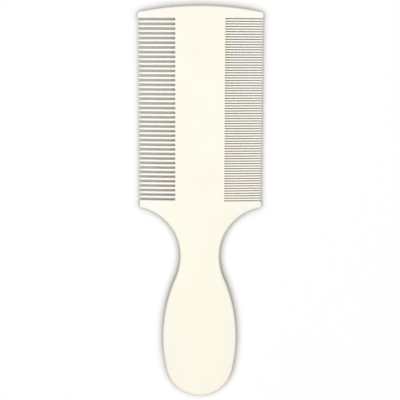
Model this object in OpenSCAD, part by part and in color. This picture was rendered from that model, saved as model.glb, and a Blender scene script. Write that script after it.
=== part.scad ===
// Double-sided grooming comb with a paddle grip.
// Millimetres. The comb lies flat: X runs across the head, Y along the comb
// with the grip towards -Y, Z through its thickness with the underside at 0.
// The origin is under the middle of the comb.

/* [Overall] */
// Length from the end of the grip to the crown of the top bar
length = 145.2; // [142:0.2:152]
// Width across the guard ends
width = 45.6; // [43:0.2:48]
// Thickness of the web, the neck and the middle of the grip
thickness = 4.0; // [3.2:0.1:5]
// Thickness at the outer edges of the head
edge_t = 1.2; // [0.8:0.1:2]
// Width of the flat band along the middle of both faces
flat_w = 16; // [10:1:18]
// Radius that softens the rim of the bar, the shoulders and the handle
edge_r = 0.6; // [0.5:0.1:1.5]

/* [Head] */
// Width of the solid web between the two rows of teeth
web_w = 17.6; // [14:0.2:22]
// Depth of the top bar at its middle
bar_h = 4.6; // [3.6:0.1:6]
// Radius of the crown of the top bar
bar_r = 115; // [80:1:200]
// Radius of the two top corners in plan
corner_r = 1.2; // [0.4:0.1:1.6]
// Depth of the lower guard at the coarse row, at the full width of the head
guard_h = 2.9; // [2.2:0.1:4]
// How far the guard at the coarse row ends inside the end of the top bar
guard_in = 0.45; // [0:0.05:0.8]
// Radius of the corners of the lower guards in plan
horn_r = 0.9; // [0.3:0.1:1.2]

/* [Coarse row] */
// Number of coarse teeth
coarse_n = 39; // [37:1:39]
// Distance from one coarse tooth to the next
coarse_pitch = 1.67; // [1.66:0.005:1.68]
// Clear gap between two coarse teeth at their roots
coarse_gap = 0.72; // [0.5:0.01:0.9]

/* [Fine row] */
// Number of fine teeth
fine_n = 72; // [70:1:73]
// Distance from one fine tooth to the next
fine_pitch = 0.915; // [0.905:0.005:0.92]
// Clear gap between two fine teeth at their roots
fine_gap = 0.25; // [0.2:0.01:0.5]

/* [Tooth form] */
// How far the tooth tips stay inside the ends of the top bar
tip_inset = 0.1; // [0:0.05:0.5]
// Draft of the tooth flanks, degrees from vertical on each side of mid thickness
draft = 2.5; // [0:0.5:3]
// Width of a tooth where its point starts, as a share of its root width
taper = 0.92; // [0.86:0.01:1]
// Length over which a tooth narrows to its point
point_l = 1.8; // [1:0.1:3]

/* [Handle] */
// Narrowest width of the neck
neck_w = 14.6; // [13:0.1:15.5]
// Radius of the concave sweep from the guards to the neck
shoulder_r = 18; // [16:0.25:20]
// Radius of the concave sweep from the neck to the grip
neck_r = 21.75; // [18:0.25:26]
// Greatest width of the grip
grip_w = 27.6; // [25:0.2:29]
// Radius of the long convex sides of the grip
side_r = 57; // [54:0.5:60]

/* [Hidden] */
$fn = 180;
over = 2;                       // how far cutting shapes run past a face

top_y = length / 2;
end_y = -length / 2;
half_w = width / 2;
half_web = web_w / 2;

// The rows hang below the top bar: one gap more than there are teeth.
row_y = top_y - bar_h;
coarse_l = coarse_n * coarse_pitch + coarse_gap;
fine_l = fine_n * fine_pitch + fine_gap;
coarse_end = row_y - coarse_l;
fine_end = row_y - fine_l;

// Both faces: flat in the middle, then large arcs down to the thin edges.
// face_r is the radius that passes the edge of the flat and the edge of
// the head.
face_drop = (thickness - edge_t) / 2;
face_a = (pow(half_w, 2) - pow(flat_w / 2, 2) - pow(face_drop, 2))
         / (2 * face_drop);
face_r = sqrt(pow(flat_w / 2, 2) + pow(face_a + face_drop, 2));
face_c = face_a + face_drop;    // depth of the arc's centre below the face

// Handle outline: four arcs a side, each tangent to the next.
// The shoulder arc reaches the full width guard_h below the coarse row.
shoulder_x = neck_w / 2 + shoulder_r;
neck_y = coarse_end - guard_h
         - sqrt(pow(shoulder_r, 2) - pow(shoulder_x - half_w, 2));
sweep_x = neck_w / 2 + neck_r;
side_x = side_r - grip_w / 2;
side_y = neck_y - sqrt(pow(neck_r + side_r, 2) - pow(sweep_x + side_x, 2));
// Round end, tangent to both long sides
end_r = (side_r * side_r - side_x * side_x - pow(side_y - end_y, 2))
        / (2 * (side_r - (side_y - end_y)));
end_c = end_y + end_r;
// Where the neck sweep meets the long side, and the long side the end
meet_y = side_y + side_r * (neck_y - side_y) / (neck_r + side_r);
heel_y = side_y + side_r * (end_c - side_y) / (side_r - end_r);

// Slab with the comb's cross-section, from y0 to y1.
module blank(y0, y1) {
    translate([0, y1, 0]) rotate([90, 0, 0])
        linear_extrude(height = y1 - y0)
            intersection() {
                translate([-half_w - over, 0])
                    square([width + 2 * over, thickness]);
                translate([0, thickness - face_c]) circle(r = face_r, $fn = 720);
                translate([0, face_c]) circle(r = face_r, $fn = 720);
            }
}

// Upright column over a plan shape, tall enough to cut the blank.
module column() {
    translate([0, 0, -over])
        linear_extrude(height = thickness + 2 * over) children();
}

// Ring section of a softened rim, for a rim at radius r. The rounding crosses
// both faces just short of tangent, which leaves a faint line there.
rim_z = edge_r - 0.05;

// Disc of radius r whose rim is softened above and below.
module soft_disc(r) {
    rotate_extrude($fn = 720) intersection() {
        translate([0, -over]) square([r, thickness + 2 * over]);
        union() {
            translate([0, -over])
                square([r - edge_r, thickness + 2 * over]);
            translate([0, rim_z]) square([r, thickness - 2 * rim_z]);
            for (z = [rim_z, thickness - rim_z])
                translate([r - edge_r, z]) circle(r = edge_r, $fn = 96);
        }
    }
}

// Cutter of radius r that leaves a softened rim around itself.
module soft_cutter(r) {
    rotate_extrude($fn = 720) union() {
        translate([0, -over]) square([r, thickness + 2 * over]);
        translate([r, 0]) difference() {
            translate([-0.5, -over])
                square([edge_r + 0.5, thickness + 2 * over]);
            translate([edge_r, rim_z]) circle(r = edge_r, $fn = 96);
            translate([edge_r, thickness - rim_z])
                circle(r = edge_r, $fn = 96);
            translate([0, rim_z])
                square([edge_r + over, thickness - 2 * rim_z]);
        }
    }
}

// One tooth in plan, root at x = 0, pointing to +X.
module tooth_plan(l, w) {
    e = w / 2 * taper;
    polygon([
        [0, -w / 2], [l - point_l, -e], [l - point_l * 0.3, -e * 0.72],
        [l - 0.08, -e * 0.38], [l, -e * 0.17],
        [l, e * 0.17], [l - 0.08, e * 0.38],
        [l - point_l * 0.3, e * 0.72], [l - point_l, e], [0, w / 2]
    ]);
}

// Section of one tooth: widest at mid thickness, drafted to both faces.
module tooth_section(w) {
    c = w / 2 - tan(draft) * thickness / 2;
    polygon([
        [-c, 0], [c, 0], [w / 2, thickness / 2],
        [c, thickness], [-c, thickness], [-w / 2, thickness / 2]
    ]);
}

// A row of n separate teeth on the +X side of the web, first gap at y_top.
module tooth_row(n, pitch, gap, y_top) {
    w = pitch - gap;
    l = half_w - tip_inset - half_web;
    intersection() {
        blank(y_top - n * pitch - gap - over, y_top + over);
        union() for (i = [0 : n - 1])
            translate([half_web, y_top - gap - w / 2 - i * pitch, 0])
                intersection() {
                    column() tooth_plan(l, w);
                    rotate([90, 0, 90]) linear_extrude(height = l + over)
                        tooth_section(w);
                }
    }
}

// Closing bar: straight below, crowned above, rounded at its two corners.
module top_bar() {
    color("ivory")
    intersection() {
        blank(row_y, top_y + over);
        column() union() {
            translate([-half_w, row_y])
                square([width, corner_y() - row_y]);
            translate([-half_w + corner_r, row_y])
                square([width - 2 * corner_r, bar_h + over]);
            for (s = [-1, 1])
                translate([s * (half_w - corner_r), corner_y()])
                    circle(r = corner_r);
        }
        translate([0, top_y - bar_r, 0]) soft_disc(bar_r);
    }
}

// Height of the corner circles' centres, so that they touch the crown.
function corner_y() = top_y - bar_r
    + sqrt(pow(bar_r - corner_r, 2) - pow(half_w - corner_r, 2));

// Solid web between the rows.
module spine() {
    color("ivory")
    intersection() {
        blank(fine_end, row_y);
        translate([-half_web, fine_end, -over])
            cube([web_w, row_y - fine_end, thickness + 2 * over]);
    }
}

module coarse_teeth() {
    color("floralwhite")
    mirror([1, 0, 0])
        tooth_row(coarse_n, coarse_pitch, coarse_gap, row_y);
}

module fine_teeth() {
    color("floralwhite")
    tooth_row(fine_n, fine_pitch, fine_gap, row_y);
}

// Lower guard at one side, out to x = w: a block with its outer upper corner
// rounded.
module guard_plan(y_hi, w) {
    translate([0, neck_y]) square([w - horn_r, y_hi - neck_y]);
    translate([0, neck_y]) square([w, y_hi - horn_r - neck_y]);
    translate([w - horn_r, y_hi - horn_r]) circle(r = horn_r);
}

// Guards and shoulders, swept in to the neck by one arc on each side.
module yoke() {
    color("ivory")
    difference() {
        intersection() {
            blank(neck_y, row_y);
            column() union() {
                intersection() {
                    guard_plan(fine_end, half_w);
                    translate([-half_web, neck_y])
                        square([half_w + half_web, fine_end - neck_y]);
                }
                translate([-half_web, neck_y])
                    square([web_w, fine_end - neck_y]);
                mirror([1, 0]) intersection() {
                    guard_plan(coarse_end, half_w - guard_in);
                    translate([half_web, neck_y])
                        square([half_w - half_web, coarse_end - neck_y]);
                }
            }
        }
        for (s = [-1, 1])
            translate([s * shoulder_x, neck_y, 0]) soft_cutter(shoulder_r);
    }
}

// Waist, from its narrowest place down to the long sides of the grip.
module neck() {
    color("ivory")
    difference() {
        intersection() {
            blank(meet_y, neck_y);
            translate([-grip_w / 2, meet_y, -over])
                cube([grip_w, neck_y - meet_y, thickness + 2 * over]);
        }
        for (s = [-1, 1])
            translate([s * sweep_x, neck_y, 0]) soft_cutter(neck_r);
    }
}

// Paddle, between its two long convex sides.
module grip() {
    color("ivory")
    intersection() {
        blank(heel_y, meet_y);
        translate([-side_x, side_y, 0]) soft_disc(side_r);
        translate([side_x, side_y, 0]) soft_disc(side_r);
    }
}

// Round end of the paddle.
module grip_end() {
    color("ivory")
    intersection() {
        blank(end_y - over, heel_y);
        translate([0, end_c, 0]) soft_disc(end_r);
    }
}

top_bar();
spine();
coarse_teeth();
fine_teeth();
yoke();
neck();
grip();
grip_end();
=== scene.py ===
"""Looks of the double-sided comb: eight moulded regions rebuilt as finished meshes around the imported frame.

Lengths in this file are millimetres unless a name ends in _m. Every mesh is made in the row frame and
scaled to metres when it becomes an object.
"""

import math

import bmesh
import bpy
import numpy as np
from mathutils import Matrix, Vector
from mathutils.geometry import delaunay_2d_cdt


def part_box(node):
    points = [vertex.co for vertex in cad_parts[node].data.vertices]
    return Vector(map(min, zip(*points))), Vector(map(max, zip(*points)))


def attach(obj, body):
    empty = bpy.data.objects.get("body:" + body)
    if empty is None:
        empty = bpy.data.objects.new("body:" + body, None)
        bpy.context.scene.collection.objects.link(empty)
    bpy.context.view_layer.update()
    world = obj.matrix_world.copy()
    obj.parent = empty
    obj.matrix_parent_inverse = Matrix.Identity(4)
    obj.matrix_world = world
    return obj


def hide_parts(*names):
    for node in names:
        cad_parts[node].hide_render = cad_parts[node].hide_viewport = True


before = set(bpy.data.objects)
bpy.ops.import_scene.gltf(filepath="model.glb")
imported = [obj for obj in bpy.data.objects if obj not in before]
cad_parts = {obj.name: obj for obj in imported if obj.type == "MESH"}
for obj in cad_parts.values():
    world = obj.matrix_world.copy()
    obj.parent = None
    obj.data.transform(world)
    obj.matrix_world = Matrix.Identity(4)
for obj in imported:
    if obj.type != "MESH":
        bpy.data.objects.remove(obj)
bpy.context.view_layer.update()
MM = 0.001


def box_mm(node):
    lo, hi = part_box(node)
    return [c / MM for c in lo], [c / MM for c in hi]


# ----------------------------------------------------------------------------
# Sizes, read from the frame where it holds them
# ----------------------------------------------------------------------------
bar_lo, bar_hi = box_mm("top_bar")
spine_lo, spine_hi = box_mm("spine")
coarse_lo, coarse_hi = box_mm("coarse_teeth")
fine_lo, fine_hi = box_mm("fine_teeth")
yoke_lo, yoke_hi = box_mm("yoke")
neck_lo, neck_hi = box_mm("neck")
grip_lo, grip_hi = box_mm("grip")
end_lo, end_hi = box_mm("grip_end")

SKIN = 0.03  # the parting line stands this far proud, and touches the CAD outline
T = spine_hi[2]  # full thickness
MID = T / 2
HALF_W = bar_hi[0] - SKIN
WEB = spine_hi[0]
TIP = fine_hi[0]
ROW_Y = bar_lo[1]  # lower side of the top bar
FINE_END = spine_lo[1]
COARSE_END = yoke_hi[1]
NECK_Y = neck_hi[1]
MEET_Y = neck_lo[1]
HEEL_Y = grip_lo[1]
TOP_Y = bar_hi[1] - SKIN
END_Y = end_lo[1] + SKIN

FLAT = 8.0  # half of the flat band
EDGE_T = 1.2  # thickness at the edges of the head
SHOULDER_R, NECK_R, SIDE_R, BAR_R = 18.0, 21.75, 57.0, 115.0
SOFT = 0.6  # rounding of the rims where the comb is at full thickness
NECK_HALF, GRIP_HALF = 7.3, 13.8
GUARD_IN = 0.45  # the guard at the coarse row ends this far inside the bar's end
BAR_HI_R, BAR_LO_R = 1.2, 0.5  # corners of the top bar's ends
FINE_GUARD, COARSE_GUARD = (1.0, 0.75), (0.6, 0.45)  # upper and lower corner of each guard
COARSE = dict(n=39, pitch=1.67, gap=0.72)
FINE = dict(n=72, pitch=0.915, gap=0.25)

face_drop = (T - EDGE_T) / 2
face_a = (HALF_W**2 - FLAT**2 - face_drop**2) / (2 * face_drop)
FACE_R = math.hypot(FLAT, face_a + face_drop)
FACE_C = face_a + face_drop


def half_t(x):
    """Half of the comb's thickness at x: flat in the middle, large arcs outside, blended where they meet."""
    x = np.abs(np.asarray(x, float))
    over = np.sqrt(FACE_R**2 - np.minimum(x, 30) ** 2) - FACE_C
    blend = 0.06
    return MID + np.minimum(0, over) - np.maximum(blend - np.abs(over), 0) ** 2 / (4 * blend)


# ----------------------------------------------------------------------------
# Mesh helpers
# ----------------------------------------------------------------------------
def make_object(name, verts, faces, sharp=34):
    """Mesh object from millimetre vertices, with outward faces and smooth shading up to the sharp angle."""
    mesh = bpy.data.meshes.new(name)
    mesh.from_pydata([tuple(float(c) * MM for c in v) for v in verts], [], faces)
    mesh.validate()
    mesh.update()
    bm = bmesh.new()
    bm.from_mesh(mesh)
    bmesh.ops.recalc_face_normals(bm, faces=bm.faces)
    bm.to_mesh(mesh)
    bm.free()
    mesh.polygons.foreach_set("use_smooth", [True] * len(mesh.polygons))
    mesh.set_sharp_from_angle(angle=math.radians(sharp))
    obj = bpy.data.objects.new(name, mesh)
    bpy.context.scene.collection.objects.link(obj)
    return obj


class Loop:
    """Outline of one region in plan, walked counter-clockwise. Each point is a function of the inset, with
    the radius of the rounding above and below it. A radius of 0 is a seam, which stays an upright wall."""

    def __init__(self):
        self.at, self.e = [], []

    def add(self, at, e):
        self.at.append(at)
        self.e.append(e)

    def fixed(self, x, y):
        self.add(lambda d: (x, y), 0)

    def moving(self, x, y, nx, ny, e):
        self.add(lambda d: (x - nx * d, y - ny * d), e)

    def seam(self, x0, y0, x1, y1, step=1.0):
        """Upright wall, its end points left out."""
        count = max(2, int(math.hypot(x1 - x0, y1 - y0) / step))
        for i in range(1, count):
            t = i / count
            self.fixed(x0 + (x1 - x0) * t, y0 + (y1 - y0) * t)

    def ring(self, insets):
        return np.array([at(d if e > 0 else 0) for at, e, d in zip(self.at, self.e, insets)], float)


def mirrored(items):
    """The same outline points on the other side of x = 0, in the opposite order."""
    flip = lambda at: lambda d: (-at(d)[0], at(d)[1])
    return [(flip(at), e) for at, e in reversed(items)]


def soft_at(x, full=SOFT):
    """Rounding radius of a rim at x: smaller where the head is thin."""
    return float(min(full, 0.64 * half_t(x)))


# Angles round the rim, from the wall to the face
RIM = [12, 26, 42, 58, 74, 90]


def levels(loop):
    """Rings of points from mid thickness to the top face, as arrays of x, y and height above mid."""
    e = np.array(loop.e, float)
    lift = np.where(e > 0, e, 0.3)  # seams get a level at the same height as a rounded rim would
    rings = []

    def ring(inset, z_of):
        q = loop.ring(inset)
        rings.append(np.column_stack([q, z_of(half_t(q[:, 0]))]))

    zero = np.zeros(len(e))
    ring(zero - SKIN, lambda h: 0 * h)
    ring(zero - SKIN * 0.7, lambda h: 0 * h + 0.03)
    ring(zero, lambda h: 0 * h + 0.06)
    for share in (0.5, 1.0):
        ring(zero + 0.012 * share, lambda h, s=share: 0.06 + np.maximum(h - 0.06 - lift, 0.03) * s)
    for a in RIM:
        c, s = math.cos(math.radians(a)), math.sin(math.radians(a))
        ring(0.012 + e * (1 - c), lambda h, s=s: h - np.minimum(lift, h - 0.09) * (1 - s))
    return rings


def region(name, loop, cell=1.15):
    """Closed mesh of one region: rounded rims on its free edges, upright seams, lens-shaped faces."""
    up = levels(loop)
    count = len(loop.e)
    verts, faces = [], []
    rings = [np.column_stack([r[:, :2], MID - r[:, 2]]) for r in reversed(up[1:])]
    rings += [np.column_stack([r[:, :2], MID + r[:, 2]]) for r in up]
    for ring in rings:
        verts.extend(ring.tolist())
    for k in range(len(rings) - 1):
        for i in range(count):
            j = (i + 1) % count
            a, b = k * count, (k + 1) * count
            faces.append((a + i, a + j, b + j, b + i))
    # both faces: the last ring, filled with evenly spread points
    edge = rings[-1][:, :2]
    lo, hi = edge.min(0), edge.max(0)
    grid = []
    rows = max(2, int((hi[1] - lo[1]) / (cell * 0.87)))
    for r in range(1, rows):
        y = lo[1] + (hi[1] - lo[1]) * r / rows
        cols = max(2, int(hi[0] / cell))
        for c in range(-cols, cols + 1):
            x = hi[0] * (c + 0.5 * (r % 2)) / cols
            grid.append((x, y))
    grid = np.array(grid)
    inside = point_in_polygon(grid, edge) & (distance_to(grid, edge) > cell * 0.45)
    grid = grid[inside]
    points = [Vector(q) for q in edge.tolist()] + [Vector(q) for q in grid.tolist()]
    new_pts, _, new_faces, origin, _, _ = delaunay_2d_cdt(points, [], [list(range(count))], 1, 1e-7, True)
    middles = np.array([np.mean([new_pts[v] for v in f], 0) for f in new_faces])
    new_faces = [f for f, ok in zip(new_faces, point_in_polygon(middles, edge)) if ok]
    for side in (0, 1):
        base = (len(rings) - 1) * count if side else 0
        index = {}
        for v, src in enumerate(origin):
            on_ring = [s for s in src if s < count]
            if on_ring:
                index[v] = base + on_ring[0]
            else:
                x, y = new_pts[v]
                h = float(half_t(x))
                verts.append((x, y, MID + h if side else MID - h))
                index[v] = len(verts) - 1
        for f in new_faces:
            tri = tuple(index[v] for v in f)
            faces.append(tri if side else tuple(reversed(tri)))
    return make_object(name, verts, faces)


def point_in_polygon(pts, poly):
    x, y = pts[:, 0][:, None], pts[:, 1][:, None]
    x0, y0 = poly[:, 0][None], poly[:, 1][None]
    x1, y1 = np.roll(poly[:, 0], -1)[None], np.roll(poly[:, 1], -1)[None]
    crosses = ((y0 > y) != (y1 > y)) & (x < (x1 - x0) * (y - y0) / (y1 - y0 + 1e-12) + x0)
    return crosses.sum(1) % 2 == 1


def distance_to(pts, poly):
    a, b = poly, np.roll(poly, -1, 0)
    d = b - a
    t = np.clip(((pts[:, None] - a[None]) * d[None]).sum(2) / ((d**2).sum(1)[None] + 1e-12), 0, 1)
    near = a[None] + d[None] * t[..., None]
    return np.sqrt(((pts[:, None] - near) ** 2).sum(2)).min(1)


# ----------------------------------------------------------------------------
# Body regions
# ----------------------------------------------------------------------------
def ease(t):
    t = min(1.0, max(0.0, t))
    return t * t * (3 - 2 * t)


def spaced(a, b, step):
    """Values from a to b at about the given step, ends included."""
    return np.linspace(a, b, max(2, int(round(abs(b - a) / step)) + 1)).tolist()


def corner(cx, cy, r, a0, a1, e_of, step=0.14):
    """Outward corner: points on an arc from a0 to a1 degrees, e_of gives the rim radius from x and the turn."""
    out = []
    angles = spaced(a0, a1, math.degrees(step / r))
    for a in angles:
        nx, ny = math.cos(math.radians(a)), math.sin(math.radians(a))
        turn = (a - a0) / (a1 - a0)
        x, y = cx + r * nx, cy + r * ny
        out.append((lambda d, x=x, y=y, nx=nx, ny=ny: (x - nx * d, y - ny * d), e_of(x, turn)))
    return out


def arc_between(cx, cy, r, y0, y1, bulge, soft=SOFT, step=0.55, skip_last=False):
    """Arc of the handle's right side between two heights. bulge 1: the comb is inside the circle; -1: it is
    outside. Every level of the rim starts and stops on the same two heights."""

    def angle(y, d):
        return math.asin(max(-1.0, min(1.0, (y - cy) / (r - bulge * d))))

    count = max(6, int(abs(angle(y1, 0) - angle(y0, 0)) * r / step))
    out = []
    for i in range(count if skip_last else count + 1):
        t = i / count

        def at(d, t=t):
            a = angle(y0, d) + (angle(y1, d) - angle(y0, d)) * t
            rr = r - bulge * d
            return cx + bulge * rr * math.cos(a), cy + rr * math.sin(a)

        out.append((at, soft))
    return out


def line_x(y, xs, ny, soft):
    """Straight edge along X whose rim is soft(x)."""
    return [(lambda d, x=x: (x, y - ny * d), soft(x)) for x in xs]


GAP_SOFT = 0.30  # rounding of the edges that face the first and the last gap


def gap_soft(x):
    return max(GAP_SOFT * ease((x - WEB) / 0.9), 0.01)


def build_top_bar():
    """Closing bar: seam on the spine, light rounding towards the gaps, crown and rounded ends."""
    hi_r, lo_r = BAR_HI_R, BAR_LO_R
    cy = TOP_Y - BAR_R
    ky = cy + math.sqrt((BAR_R - hi_r) ** 2 - (HALF_W - hi_r) ** 2)
    meet = math.degrees(math.atan2(ky - cy, HALF_W - hi_r))
    side = line_x(ROW_Y, [WEB + 0.15, WEB + 0.35, WEB + 0.6] + spaced(WEB + 1, HALF_W - lo_r, 0.5)[:-1], -1, gap_soft)
    side += corner(
        HALF_W - lo_r, ROW_Y + lo_r, lo_r, -90, 0, lambda x, t: GAP_SOFT + (soft_at(x) - GAP_SOFT) * ease(t)
    )
    side += corner(HALF_W - hi_r, ky, hi_r, 0, meet, lambda x, t: soft_at(x))
    side += corner(0, cy, BAR_R, meet, 90, lambda x, t: soft_at(x), 0.6)[1:]
    loop = Loop()
    loop.fixed(-WEB, ROW_Y)
    loop.seam(-WEB, ROW_Y, WEB, ROW_Y)
    loop.fixed(WEB, ROW_Y)
    for item in side + mirrored(side[:-1]):
        loop.add(*item)
    return region("top_bar_mould", loop)


def build_spine():
    loop = Loop()
    for x0, y0, x1, y1 in (
        (-WEB, FINE_END, WEB, FINE_END),
        (WEB, FINE_END, WEB, ROW_Y),
        (WEB, ROW_Y, -WEB, ROW_Y),
        (-WEB, ROW_Y, -WEB, FINE_END),
    ):
        loop.fixed(x0, y0)
        loop.seam(x0, y0, x1, y1)
    return region("spine_mould", loop)


def guard(top, out, hi_r, lo_r):
    """Right side of the yoke, from the neck seam up the shoulder arc, round the guard and in to the spine."""
    cx, cy = NECK_HALF + SHOULDER_R, NECK_Y
    kx = out - lo_r
    ky = cy + math.sqrt((SHOULDER_R + lo_r) ** 2 - (cx - kx) ** 2)
    touch = math.atan2(cy - ky, cx - kx)
    items = []
    angles = np.linspace(0, -touch, 44)
    for a in angles:
        x0 = cx - SHOULDER_R * math.cos(a)
        items.append(
            (
                lambda d, a=a: (cx - (SHOULDER_R + d) * math.cos(a), cy + (SHOULDER_R + d) * math.sin(a)),
                soft_at(x0),
            )
        )
    items += corner(kx, ky, lo_r, math.degrees(touch), 0, lambda x, t: soft_at(x), 0.1)[1:]
    items += corner(
        out - hi_r, top - hi_r, hi_r, 0, 90, lambda x, t: soft_at(x) + (GAP_SOFT - soft_at(x)) * ease(t)
    )
    xs = spaced(out - hi_r, WEB + 1, 0.5)[1:] + [WEB + 0.6, WEB + 0.35, WEB + 0.15]
    items += line_x(top, xs, 1, gap_soft)
    return items


def build_yoke():
    loop = Loop()
    inner = NECK_HALF - SOFT - 0.3
    loop.seam(-inner, NECK_Y, inner, NECK_Y)
    for item in guard(FINE_END, HALF_W, *FINE_GUARD):
        loop.add(*item)
    loop.fixed(WEB, FINE_END)
    loop.seam(WEB, FINE_END, -WEB, FINE_END)
    loop.fixed(-WEB, FINE_END)
    loop.fixed(-WEB, (FINE_END + COARSE_END) / 2)
    loop.fixed(-WEB, COARSE_END)
    for item in mirrored(guard(COARSE_END, HALF_W - GUARD_IN, *COARSE_GUARD)):
        loop.add(*item)
    return region("yoke_mould", loop)


def handle_region(name, right, y_lo, y_hi, round_end=False):
    """Region of the handle between two seams. right is its right side from y_lo up to y_hi."""
    loop = Loop()
    if not round_end:
        inner = right[0][0](SOFT + 0.012)[0] - 0.3
        loop.seam(-inner, y_lo, inner, y_lo)
    for item in right:
        loop.add(*item)
    inner = right[-1][0](SOFT + 0.012)[0] - 0.3
    loop.seam(inner, y_hi, -inner, y_hi)
    for item in mirrored(right[1:] if round_end else right):
        loop.add(*item)
    return region(name, loop)


def build_neck():
    right = arc_between(NECK_HALF + NECK_R, NECK_Y, NECK_R, MEET_Y, NECK_Y, -1)
    return handle_region("neck_mould", right, MEET_Y, NECK_Y)


def side_centre():
    """Centre of the long side of the grip."""
    cx = -(SIDE_R - GRIP_HALF)
    return cx, NECK_Y - math.sqrt((NECK_R + SIDE_R) ** 2 - (NECK_HALF + NECK_R - cx) ** 2)


def build_grip():
    cx, cy = side_centre()
    right = arc_between(cx, cy, SIDE_R, HEEL_Y, MEET_Y, 1)
    return handle_region("grip_mould", right, HEEL_Y, MEET_Y)


def build_grip_end():
    cx, cy = side_centre()
    a = cy - END_Y
    r = (SIDE_R**2 - cx**2 - a**2) / (2 * (SIDE_R - a))
    ey = END_Y + r
    right = []
    count = 44
    for i in range(count + 1):

        def at(d, t=i / count):
            rr = r - d
            a = -math.pi / 2 + (math.asin((HEEL_Y - ey) / rr) + math.pi / 2) * t
            return (rr * math.cos(a) if t else 0.0), ey + rr * math.sin(a)

        right.append((at, SOFT))
    return handle_region("grip_end_mould", right, END_Y, HEEL_Y, round_end=True)


# ----------------------------------------------------------------------------
# Teeth
# ----------------------------------------------------------------------------
def tooth_rings(pitch, gap, soft, taper, point, draft, tip, blunt):
    """One tooth pointing to +X about y = 0, as stations along it. Each station holds a full turn of points
    round its section. The roots flare by quarter circles, so two neighbours make a round-ended gap."""
    w = pitch - gap
    tan = math.tan(math.radians(draft))
    top_inset = soft + tan * (half_t(WEB) - soft)
    xc = WEB + gap / 2 + top_inset + 0.02
    tip_from = tip - point

    def thin(x):
        """Half thickness of the tooth, drawn in over its last stretch."""
        u = max(0.0, (x - (tip - blunt)) / blunt)
        return float(half_t(x)) * math.sqrt(max(0.0, 1 - (0.93 * u) ** 2))

    def width(x):
        """Half width at mid thickness."""
        b = w / 2 * (1 - (1 - taper) * max(0, x - xc) / (tip_from - xc))
        if x > tip_from:
            u = (x - tip_from) / point
            b *= (1 - 0.3 * u) * math.sqrt(max(0.0, 1 - (0.98 * u) ** 5))
        return b

    rims = [None, 0, 30, 60, 90]  # None is mid thickness

    def section(x_of, y_of, hx):
        """Points at one station: right side from mid to top, left side down, then the under side."""
        h = thin(hx)
        e = min(soft, 0.6 * h)
        rise = []
        for a in rims:
            if a is None:
                rise.append((0.0, 0.0))
            else:
                c, s = math.cos(math.radians(a)), math.sin(math.radians(a))
                rise.append((tan * (h - e) + e * (1 - c), h - e * (1 - s)))
        quarter = []
        for inset, z in rise:
            x = x_of(inset)
            quarter.append((x, y_of(x, inset), z))
        ring = [(x, y, z) for x, y, z in quarter]
        ring += [(x, -y, z) for x, y, z in reversed(quarter)]
        ring += [(x, -y, -z) for x, y, z in quarter[1:]]
        ring += [(x, y, -z) for x, y, z in reversed(quarter[1:])]
        return ring

    reach = pitch / 2 - 0.002  # each tooth stops just short of its neighbour
    stations = [section(lambda i: WEB, lambda x, i: reach, WEB)]
    for k in range(7):
        a = math.radians(90 * k / 6)
        stations.append(
            section(
                lambda i, a=a: xc - (gap / 2 + i) * math.cos(a),
                lambda x, i, a=a: reach - (gap / 2 + i) * math.sin(a),
                xc - (gap / 2 + top_inset) * math.cos(a) * 0.5,
            )
        )
    xs = list(np.linspace(xc, tip_from, 9)[1:])
    xs += [tip_from + point * u for u in (0.22, 0.42, 0.58, 0.72, 0.83, 0.91, 0.965, 1.0)]
    for x in xs:
        b = width(x)
        stations.append(section(lambda i, x=x: x, lambda _, i, b=b: max(b - i * min(1, b / (w / 2)), 0.15 * b), x))
    return stations, xc, top_inset


def build_row(name, n, pitch, gap, soft, taper, point, draft, tip, blunt, sign):
    stations, xc, top_inset = tooth_rings(pitch, gap, soft, taper, point, draft, tip, blunt)
    m = len(stations[0])
    verts, faces = [], []
    for t in range(n):
        yc = ROW_Y - gap - (pitch - gap) / 2 - t * pitch
        base = len(verts)
        for ring in stations:
            verts.extend((sign * x, yc + y, MID + z) for x, y, z in ring)
        for s in range(len(stations) - 1):
            for i in range(m):
                j = (i + 1) % m
                a, b = base + s * m, base + (s + 1) * m
                faces.append((a + i, a + j, b + j, b + i))
        faces.append(tuple(base + i for i in range(m)))
        faces.append(tuple(base + (len(stations) - 1) * m + i for i in range(m)))
    # root fillets at both ends of the row, against the top bar and the guard
    tan = math.tan(math.radians(draft))
    for wall, side in ((ROW_Y, 1), (ROW_Y - n * pitch - gap, -1)):
        middle = wall - side * gap / 2
        loops = []
        h = float(half_t(WEB + 0.3))
        heights = []
        for a in (0, 30, 60, 90):
            c, s = math.cos(math.radians(a)), math.sin(math.radians(a))
            heights.append((tan * (h - soft) + soft * (1 - c), 1 - soft * (1 - s) / h))
        for inset, share in [(i, -s) for i, s in reversed(heights)] + [(0, 0)] + heights:
            r = gap / 2 + inset
            a_max = math.asin(min(1, (gap / 2) / r))
            ring = [(WEB, middle)]
            for k in range(7):
                a = a_max * k / 6
                ring.append((xc - r * math.cos(a), middle + side * r * math.sin(a)))
            ring.append((WEB, wall))
            loops.append([(sign * x, y, MID + float(half_t(x)) * share) for x, y in ring])
        base, k = len(verts), len(loops[0])
        for ring in loops:
            verts.extend(ring)
        for s in range(len(loops) - 1):
            for i in range(k):
                j = (i + 1) % k
                a, b = base + s * k, base + (s + 1) * k
                faces.append((a + i, a + j, b + j, b + i))
        faces.append(tuple(base + i for i in range(k)))
        faces.append(tuple(base + (len(loops) - 1) * k + i for i in range(k)))
    return make_object(name, verts, faces, sharp=50)


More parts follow.
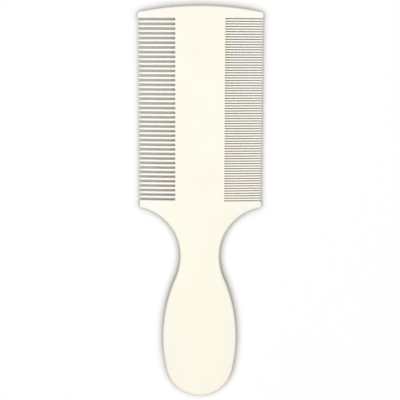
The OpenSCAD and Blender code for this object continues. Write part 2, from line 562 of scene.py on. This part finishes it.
pieces = {
    "top_bar": build_top_bar(),
    "spine": build_spine(),
    "yoke": build_yoke(),
    "neck": build_neck(),
    "grip": build_grip(),
    "grip_end": build_grip_end(),
    "coarse_teeth": build_row(
        "coarse_teeth_mould", soft=0.17, taper=0.94, point=2.3, draft=2.5, tip=TIP, blunt=0.6, sign=-1, **COARSE
    ),
    "fine_teeth": build_row(
        "fine_teeth_mould", soft=0.10, taper=0.94, point=1.0, draft=1.5, tip=HALF_W, blunt=0.4, sign=1, **FINE
    ),
}


# ----------------------------------------------------------------------------
# Material: ivory moulded plastic
# ----------------------------------------------------------------------------
def plastic(name, painted_light_from, painted_light_to, painted_light, painted_wall_shade_and_warmth):
    """Ivory moulding that turns paler between two distances from the middle, where it gets thin, as painted light
    for light coming through the thin plastic, and keeps a deeper, warmer ivory on its upright walls as painted shade."""
    mat = bpy.data.materials.new(name)
    mat.use_nodes = True
    nt = mat.node_tree
    nodes, link = nt.nodes, nt.links.new
    bsdf = nodes["Principled BSDF"]
    bsdf.inputs["IOR"].default_value = 1.49

    coords = nodes.new("ShaderNodeTexCoord")
    split = nodes.new("ShaderNodeSeparateXYZ")
    link(coords.outputs["Object"], split.inputs[0])

    def math_node(op, a, b=None, c=None, clamp=False):
        node = nodes.new("ShaderNodeMath")
        node.operation = op
        node.use_clamp = clamp
        for k, v in enumerate((a, b, c)):
            if v is None:
                continue
            if isinstance(v, (int, float)):
                node.inputs[k].default_value = v
            else:
                link(v, node.inputs[k])
        return node.outputs[0]

    def noise(scale, detail=2.0, rough=0.5, squash=None):
        node = nodes.new("ShaderNodeTexNoise")
        node.inputs["Scale"].default_value = scale
        node.inputs["Detail"].default_value = detail
        node.inputs["Roughness"].default_value = rough
        source = coords.outputs["Object"]
        if squash:
            mapping = nodes.new("ShaderNodeMapping")
            mapping.inputs["Scale"].default_value = squash
            link(source, mapping.inputs["Vector"])
            source = mapping.outputs[0]
        link(source, node.inputs["Vector"])
        return node.outputs["Fac"]

    def mix(fac, a, b):
        node = nodes.new("ShaderNodeMix")
        node.data_type = "RGBA"
        node.clamp_factor = True
        for socket, v in ((node.inputs[0], fac), (node.inputs[6], a), (node.inputs[7], b)):
            if isinstance(v, tuple):
                socket.default_value = (*v, 1)
            elif isinstance(v, (int, float)):
                socket.default_value = v
            else:
                link(v, socket)
        return node.outputs[2]

    # colour: warm ivory with faint cloudy variation, and painted light that makes it paler where the head thins towards
    # its edges
    x_abs = math_node("ABSOLUTE", split.outputs[0])
    thin = nodes.new("ShaderNodeMapRange")
    thin.interpolation_type = "SMOOTHSTEP"
    thin.inputs["From Min"].default_value = painted_light_from * MM
    thin.inputs["From Max"].default_value = painted_light_to * MM
    link(x_abs, thin.inputs["Value"])
    cloud = noise(38.0, 3.0, 0.55)
    flow = noise(22.0, 2.0, 0.5, (2.2, 0.5, 1.0))
    base = mix(cloud, IVORY_A, IVORY_B)
    base = mix(math_node("MULTIPLY", flow, 0.5), base, IVORY_C)
    base = mix(thin.outputs[0], base, painted_light)
    # painted shade on the upright walls: where the surface faces sideways the colour turns to the deeper wall ivory,
    # warmer on the teeth as painted light through the plastic
    facing = nodes.new("ShaderNodeSeparateXYZ")
    link(nodes.new("ShaderNodeNewGeometry").outputs["Normal"], facing.inputs[0])
    flat = nodes.new("ShaderNodeMapRange")
    flat.interpolation_type = "SMOOTHSTEP"
    flat.inputs["From Min"].default_value = 0.1
    flat.inputs["From Max"].default_value = 0.8
    link(math_node("ABSOLUTE", facing.outputs[2]), flat.inputs["Value"])
    base = mix(flat.outputs[0], painted_wall_shade_and_warmth, base)
    link(base, bsdf.inputs["Base Color"])

    # roughness: satin, with faint handling marks
    smudge = noise(90.0, 4.0, 0.6)
    rough = nodes.new("ShaderNodeMapRange")
    rough.inputs["From Min"].default_value = 0.3
    rough.inputs["From Max"].default_value = 0.7
    rough.inputs["To Min"].default_value = 0.34
    rough.inputs["To Max"].default_value = 0.44
    link(smudge, rough.inputs["Value"])
    link(rough.outputs[0], bsdf.inputs["Roughness"])

    # relief: mould texture at about 0.1 mm, slow sink marks, and ejector-pin rings on the underside
    grain = noise(9000.0, 2.0, 0.5)
    wave = noise(120.0, 1.0, 0.4)
    rings = None
    for cx, cy, r in EJECTORS:
        dx = math_node("SUBTRACT", split.outputs[0], cx * MM)
        dy = math_node("SUBTRACT", split.outputs[1], cy * MM)
        d = math_node("SQRT", math_node("ADD", math_node("MULTIPLY", dx, dx), math_node("MULTIPLY", dy, dy)))
        step = nodes.new("ShaderNodeMapRange")
        step.interpolation_type = "SMOOTHSTEP"
        step.inputs["From Min"].default_value = (r - 0.12) * MM
        step.inputs["From Max"].default_value = (r + 0.12) * MM
        link(d, step.inputs["Value"])
        rings = step.outputs[0] if rings is None else math_node("MULTIPLY", rings, step.outputs[0])
    under = math_node("LESS_THAN", split.outputs[2], 0.6 * MM)
    rings = math_node("MULTIPLY", math_node("SUBTRACT", 1.0, rings), under)
    height = math_node("MULTIPLY", grain, 0.006)
    height = math_node("MULTIPLY_ADD", wave, 0.05, height)
    height = math_node("MULTIPLY_ADD", rings, -0.05, height)
    bump = nodes.new("ShaderNodeBump")
    bump.inputs["Strength"].default_value = 1.0
    bump.inputs["Distance"].default_value = MM
    link(height, bump.inputs["Height"])
    link(bump.outputs[0], bsdf.inputs["Normal"])
    return mat


IVORY_A = (0.833, 0.799, 0.676)
IVORY_B = (0.851, 0.819, 0.699)
IVORY_C = (0.842, 0.805, 0.667)
# painted light: paler ivory where the head gets thin, as if light came through the plastic
PAINTED_LIGHT_BAR = (0.850, 0.838, 0.775)
PAINTED_LIGHT_TEETH = (0.893, 0.870, 0.797)
EJECTORS = [(0, 62, 2.0), (0, 38, 2.0), (0, 14, 2.0), (0, -8, 2.0), (0, -40, 2.5), (0, -62, 2.5)]

# painted shade: deeper, warmer ivory for the upright walls; on the teeth it is mostly warmth, painted light standing in
# for light through the plastic
PAINTED_WALL_SHADE_BODY = (0.790, 0.752, 0.640)
PAINTED_WALL_WARMTH_TEETH = (0.925, 0.862, 0.755)

ivory = plastic("ivory_plastic_body", 8.0, 22.0, PAINTED_LIGHT_BAR, PAINTED_WALL_SHADE_BODY)
ivory_thin = plastic("ivory_plastic_teeth", 8.6, 11.0, PAINTED_LIGHT_TEETH, PAINTED_WALL_WARMTH_TEETH)
for node, piece in pieces.items():
    piece.data.materials.append(ivory_thin if node.endswith("teeth") else ivory)
    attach(piece, "root")
    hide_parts(node)


# ----------------------------------------------------------------------------
# Stage, light, camera
# ----------------------------------------------------------------------------
def floor():
    """Plain sweep: a flat disc that curves up into a wall far behind everything."""
    profile = [(0.5, 0.0), (1.0, 0.0), (1.6, 0.0)]
    profile += [(1.6 + 0.8 * math.sin(math.radians(a)), 0.8 - 0.8 * math.cos(math.radians(a))) for a in range(6, 91, 6)]
    profile += [(2.4, 1.9)]
    turns = 96
    verts, faces = [], [tuple(range(turns))]
    for r, z in profile:
        for i in range(turns):
            a = 2 * math.pi * i / turns
            verts.append((r * math.cos(a), r * math.sin(a), z - 0.00002))
    for k in range(len(profile) - 1):
        for i in range(turns):
            j = (i + 1) % turns
            faces.append((k * turns + i, (k + 1) * turns + i, (k + 1) * turns + j, k * turns + j))
    mesh = bpy.data.meshes.new("floor")
    mesh.from_pydata(verts, [], faces)
    mesh.polygons.foreach_set("use_smooth", [True] * len(mesh.polygons))
    mesh.update()
    sweep = bpy.data.objects.new("floor", mesh)
    bpy.context.scene.collection.objects.link(sweep)
    mat = bpy.data.materials.new("paper_white")
    mat.use_nodes = True
    bsdf = mat.node_tree.nodes["Principled BSDF"]
    bsdf.inputs["Roughness"].default_value = 0.9
    bsdf.inputs["Specular IOR Level"].default_value = 0.2
    # painted contact shade: the floor's colour turns darker within a few millimetres of whatever lies on the floor
    contact = mat.node_tree.nodes.new("ShaderNodeAmbientOcclusion")
    contact.samples = 8
    contact.inputs["Distance"].default_value = 3.4 * MM
    shade = mat.node_tree.nodes.new("ShaderNodeMix")
    shade.data_type = "RGBA"
    shade.inputs[6].default_value = (0.650, 0.630, 0.600, 1)
    shade.inputs[7].default_value = (0.92, 0.92, 0.92, 1)
    open_sky = mat.node_tree.nodes.new("ShaderNodeMapRange")
    open_sky.inputs["From Min"].default_value = 0.5
    mat.node_tree.links.new(contact.outputs["AO"], open_sky.inputs["Value"])
    # the painted shade is lifted again where the floor is most closed in, right between the teeth, as painted light for
    # light coming through the teeth
    between = mat.node_tree.nodes.new("ShaderNodeMapRange")
    between.inputs["From Min"].default_value = 0.42
    between.inputs["From Max"].default_value = 0.25
    mat.node_tree.links.new(contact.outputs["AO"], between.inputs["Value"])
    lighter = mat.node_tree.nodes.new("ShaderNodeMath")
    lighter.operation = "MAXIMUM"
    mat.node_tree.links.new(open_sky.outputs[0], lighter.inputs[0])
    mat.node_tree.links.new(between.outputs[0], lighter.inputs[1])
    mat.node_tree.links.new(lighter.outputs[0], shade.inputs[0])
    mat.node_tree.links.new(shade.outputs[2], bsdf.inputs["Base Color"])
    mesh.materials.append(mat)
    sweep.visible_diffuse = False  # keeps the gaps and the outline of a pale comb readable on a white floor


def area(name, location, target, size, watts):
    data = bpy.data.lights.new(name, "AREA")
    data.shape = "SQUARE"
    data.size = size
    data.energy = watts
    light = bpy.data.objects.new(name, data)
    bpy.context.scene.collection.objects.link(light)
    light.location = location
    light.rotation_mode = "QUATERNION"
    light.rotation_quaternion = (Vector(target) - Vector(location)).to_track_quat("-Z", "Y")
    return light


floor()
area("softbox", (-0.07, 0.05, 2.0), (0, 0, 0), 2.0, 50.8)
world = bpy.data.worlds.new("studio")
world.use_nodes = True
world.node_tree.nodes["Background"].inputs["Color"].default_value = (1, 1, 1, 1)
world.node_tree.nodes["Background"].inputs["Strength"].default_value = 0.12
bpy.context.scene.world = world
bpy.context.scene.view_settings.view_transform = "Standard"
bpy.context.scene.view_settings.look = "None"

cam_data = bpy.data.cameras.new("camera")
cam_data.sensor_width = 36.0
cam_data.lens = 90.0
cam_data.clip_start, cam_data.clip_end = 0.01, 10.0
cam = bpy.data.objects.new("camera", cam_data)
bpy.context.scene.collection.objects.link(cam)
CAM_AT = (0.06, 57.14, 366.9)
CAM_TILT, CAM_ROLL = 8.59, 0.18
cam.rotation_mode = "QUATERNION"
cam.rotation_quaternion = (
    Matrix.Rotation(math.radians(-CAM_TILT), 3, "X") @ Matrix.Rotation(math.radians(CAM_ROLL), 3, "Z")
).to_quaternion()
cam.location = [c * MM for c in CAM_AT]
bpy.context.scene.camera = cam

bpy.context.view_layer.update()
